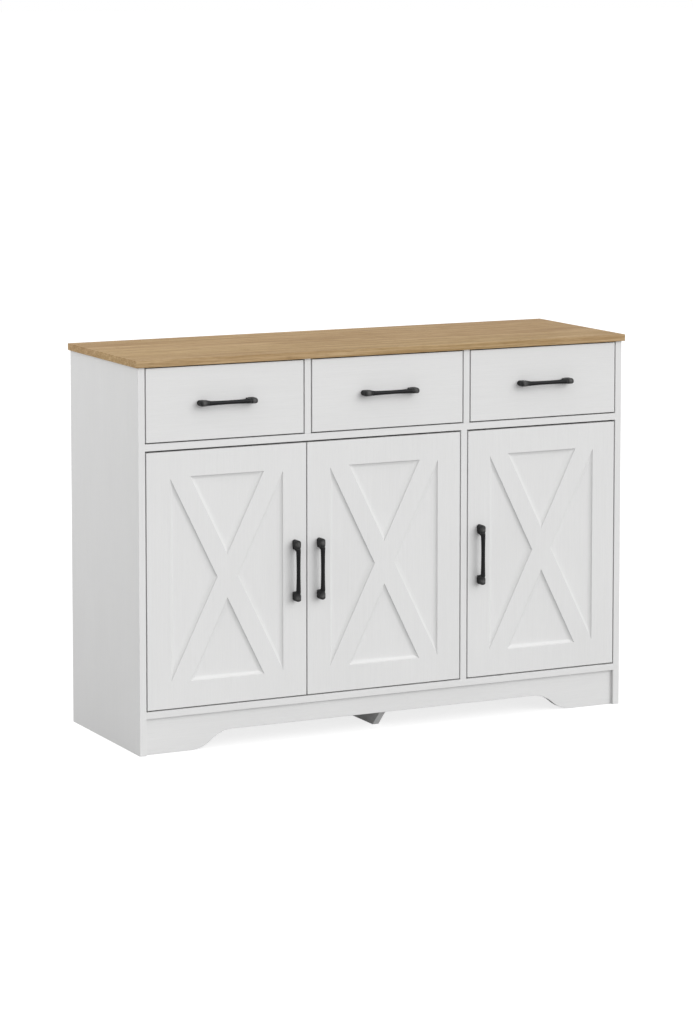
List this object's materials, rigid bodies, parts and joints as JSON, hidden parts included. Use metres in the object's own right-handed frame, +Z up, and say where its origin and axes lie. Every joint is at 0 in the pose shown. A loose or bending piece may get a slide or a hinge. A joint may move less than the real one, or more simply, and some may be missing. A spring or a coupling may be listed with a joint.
{
  "type": "sideboard buffet",
  "caption": "Low white sideboard with an oak-look top, a row of drawers over braced cupboard doors, black bar pulls and an arched plinth.",
  "frame": {"origin": "on the floor, in the middle of the overall footprint with the pulls counted in", "axes": "+X along the front from the left end to the right end as seen from the front, +Y from the front to the back, +Z up"},
  "size_m": [1.2, 0.4084, 0.852],
  "materials": {
    "oak_laminate": "matt oak-grain laminate",
    "white_laminate": "matt white laminate with a faint pressed grain",
    "hardboard": "thin painted hardboard",
    "black_iron": "satin black, lightly worn on the edges",
    "zinc_steel": "zinc plated"
  },
  "bodies": {
    "cabinet": {"top_panel": "oak_laminate", "left_side_panel": "white_laminate", "right_side_panel": "white_laminate", "mid_panel": "white_laminate", "bottom_panel": "white_laminate", "left_drawer_divider": "white_laminate", "right_drawer_divider": "white_laminate", "door_divider": "white_laminate", "front_apron": "white_laminate", "centre_support": "white_laminate", "wide_back_panel": "hardboard", "narrow_back_panel": "hardboard", "wide_shelf": "white_laminate", "narrow_shelf": "white_laminate", "shelf_pins": "zinc_steel", "cam_fittings": "zinc_steel", "cabinet_rails": "zinc_steel", "hinge_arms": "zinc_steel"},
    "left_door": {"left_door_panel": "white_laminate", "left_door_pull": "black_iron", "left_door_pull_screws": "zinc_steel", "left_hinge_cups": "zinc_steel"},
    "left_links": {"left_hinge_links": "zinc_steel"},
    "middle_door": {"middle_door_panel": "white_laminate", "middle_door_pull": "black_iron", "middle_door_pull_screws": "zinc_steel", "middle_hinge_cups": "zinc_steel"},
    "middle_links": {"middle_hinge_links": "zinc_steel"},
    "right_door": {"right_door_panel": "white_laminate", "right_door_pull": "black_iron", "right_door_pull_screws": "zinc_steel", "right_hinge_cups": "zinc_steel"},
    "right_links": {"right_hinge_links": "zinc_steel"},
    "left_drawer": {"left_drawer_front": "white_laminate", "left_drawer_left_side": "white_laminate", "left_drawer_right_side": "white_laminate", "left_drawer_back": "white_laminate", "left_drawer_bottom": "hardboard", "left_drawer_pull": "black_iron", "left_drawer_pull_screws": "zinc_steel", "left_drawer_runners": "zinc_steel"},
    "left_slides": {"left_slide_middles": "zinc_steel"},
    "middle_drawer": {"middle_drawer_front": "white_laminate", "middle_drawer_left_side": "white_laminate", "middle_drawer_right_side": "white_laminate", "middle_drawer_back": "white_laminate", "middle_drawer_bottom": "hardboard", "middle_drawer_pull": "black_iron", "middle_drawer_pull_screws": "zinc_steel", "middle_drawer_runners": "zinc_steel"},
    "middle_slides": {"middle_slide_middles": "zinc_steel"},
    "right_drawer": {"right_drawer_front": "white_laminate", "right_drawer_left_side": "white_laminate", "right_drawer_right_side": "white_laminate", "right_drawer_back": "white_laminate", "right_drawer_bottom": "hardboard", "right_drawer_pull": "black_iron", "right_drawer_pull_screws": "zinc_steel", "right_drawer_runners": "zinc_steel"},
    "right_slides": {"right_slide_middles": "zinc_steel"}
  },
  "joints": [
    {"name": "left_door_hinge", "type": "hinge", "parent": "cabinet", "child": "left_door", "pos_m": [-0.571, -0.17475, 0.37575], "axis": [0, 0, -1], "range_deg": [0, 100]},
    {"name": "left_link_pivot", "type": "hinge", "parent": "cabinet", "child": "left_links", "pos_m": [-0.558, -0.16775, 0.37575], "axis": [0, 0, -1], "range_deg": [0, 123]},
    {"name": "middle_door_hinge", "type": "hinge", "parent": "cabinet", "child": "middle_door", "pos_m": [0.174, -0.17475, 0.37575], "axis": [0, 0, 1], "range_deg": [0, 100]},
    {"name": "middle_link_pivot", "type": "hinge", "parent": "cabinet", "child": "middle_links", "pos_m": [0.161, -0.16775, 0.37575], "axis": [0, 0, 1], "range_deg": [0, 123]},
    {"name": "right_door_hinge", "type": "hinge", "parent": "cabinet", "child": "right_door", "pos_m": [0.571, -0.17475, 0.37575], "axis": [0, 0, 1], "range_deg": [0, 100]},
    {"name": "right_link_pivot", "type": "hinge", "parent": "cabinet", "child": "right_links", "pos_m": [0.558, -0.16775, 0.37575], "axis": [0, 0, 1], "range_deg": [0, 123]},
    {"name": "left_drawer_slide", "type": "slide", "parent": "cabinet", "child": "left_drawer", "axis": [0, -1, 0], "range_m": [0, 0.27]},
    {"name": "left_slide_travel", "type": "slide", "parent": "cabinet", "child": "left_slides", "axis": [0, -1, 0], "range_m": [0, 0.135]},
    {"name": "middle_drawer_slide", "type": "slide", "parent": "cabinet", "child": "middle_drawer", "axis": [0, -1, 0], "range_m": [0, 0.27]},
    {"name": "middle_slide_travel", "type": "slide", "parent": "cabinet", "child": "middle_slides", "axis": [0, -1, 0], "range_m": [0, 0.135]},
    {"name": "right_drawer_slide", "type": "slide", "parent": "cabinet", "child": "right_drawer", "axis": [0, -1, 0], "range_m": [0, 0.27]},
    {"name": "right_slide_travel", "type": "slide", "parent": "cabinet", "child": "right_slides", "axis": [0, -1, 0], "range_m": [0, 0.135]}
  ],
  "couplings": [
    {"joint": "left_link_pivot", "follows": "left_door_hinge", "ratio": 1.226},
    {"joint": "middle_link_pivot", "follows": "middle_door_hinge", "ratio": 1.226},
    {"joint": "right_link_pivot", "follows": "right_door_hinge", "ratio": 1.226},
    {"joint": "left_slide_travel", "follows": "left_drawer_slide", "ratio": 0.5},
    {"joint": "middle_slide_travel", "follows": "middle_drawer_slide", "ratio": 0.5},
    {"joint": "right_slide_travel", "follows": "right_drawer_slide", "ratio": 0.5}
  ]
}
